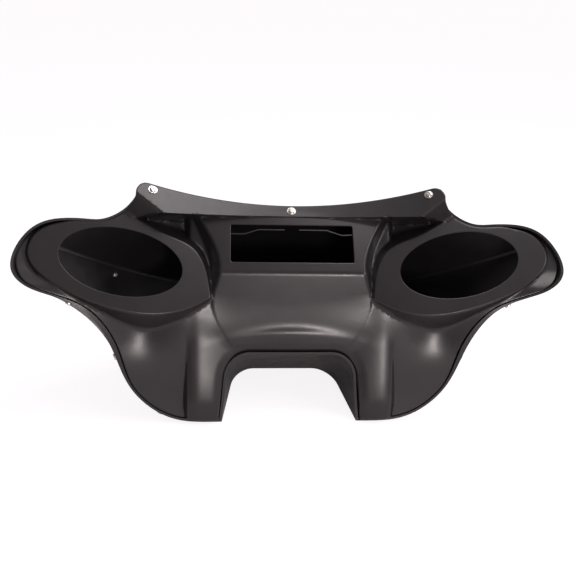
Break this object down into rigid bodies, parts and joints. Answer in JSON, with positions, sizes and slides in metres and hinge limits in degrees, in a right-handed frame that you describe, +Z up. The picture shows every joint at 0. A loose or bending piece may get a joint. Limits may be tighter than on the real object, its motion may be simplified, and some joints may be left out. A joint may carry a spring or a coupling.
{
  "type": "motorcycle fairing",
  "caption": "Batwing handlebar fairing without its windshield: outer shell and dash panel with radio slot, oval speaker cut-outs and headlight arch.",
  "frame": {"origin": "middle of the fairing's box on the floor, with the fairing resting on its headlight mouth", "axes": "+X to the rider's right, +Y forward on the motorcycle, +Z up"},
  "size_m": [0.8, 0.3118, 0.345],
  "materials": {
    "shell_plastic": "satin black",
    "dash_plastic": "satin black",
    "screw_steel": "bright zinc",
    "washer_steel": "bright zinc",
    "sleeve_rubber": "matte",
    "nut_steel": "zinc"
  },
  "bodies": {
    "root": {"outer_fairing": "shell_plastic", "inner_fairing": "dash_plastic", "windshield_screws": "screw_steel", "windshield_washers": "washer_steel", "windshield_sleeves": "sleeve_rubber", "windshield_nuts": "nut_steel", "edge_screws": "screw_steel", "edge_nuts": "nut_steel"}
  },
  "joints": []
}
